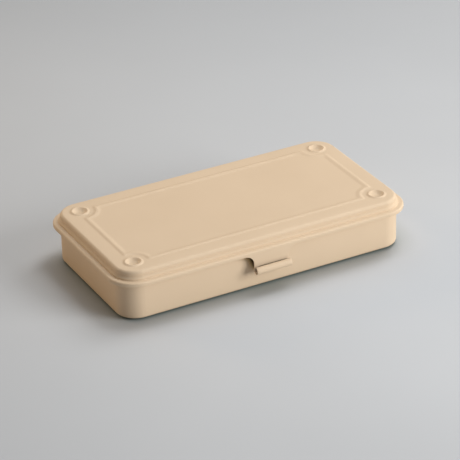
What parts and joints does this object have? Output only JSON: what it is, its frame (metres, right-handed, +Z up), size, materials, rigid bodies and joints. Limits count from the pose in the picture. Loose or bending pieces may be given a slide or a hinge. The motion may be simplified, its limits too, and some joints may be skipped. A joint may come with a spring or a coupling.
{
  "type": "sewing machine attachment box",
  "caption": "Shallow rectangular pressed-steel storage box with a hinged overhanging lid, round stacking seats and a snap-down front tongue, for small sewing machine attachments.",
  "frame": {"origin": "on the table, under the middle of the whole box's outline, tongue and hinges included", "axes": "+X to the right along the front, +Y to the rear where the hinges are, +Z up"},
  "size_m": [0.203, 0.1134, 0.0341],
  "materials": {
    "sand_paint": "satin baked enamel in warm sand beige, slightly matt",
    "plated_steel": "dull zinc-plated hinge pin, fine brushed grain"
  },
  "bodies": {
    "tray": {"base_tray": "sand_paint", "latch_keeper": "sand_paint", "keeper_rivet_left": "sand_paint", "keeper_rivet_right": "sand_paint", "hinge_bracket_left": "sand_paint", "hinge_bracket_right": "sand_paint", "hinge_pin_left": "plated_steel", "hinge_pin_right": "plated_steel", "hinge_rivet_left_inner": "sand_paint", "hinge_rivet_left_outer": "sand_paint", "hinge_rivet_right_inner": "sand_paint", "hinge_rivet_right_outer": "sand_paint"},
    "lid": {"lid_shell": "sand_paint"},
    "tongue": {"latch_tongue": "sand_paint"}
  },
  "joints": [
    {"name": "lid_hinge", "type": "hinge", "parent": "tray", "child": "lid", "pos_m": [0, 0.0543, 0.02152], "axis": [-1, 0, 0], "range_deg": [0, 110]},
    {"name": "tongue_flex", "type": "hinge", "parent": "lid", "child": "tongue", "pos_m": [0, -0.0526, 0.0264], "axis": [-1, 0, 0], "range_deg": [0, 3], "stiffness_Nm_per_rad": 8}
  ]
}
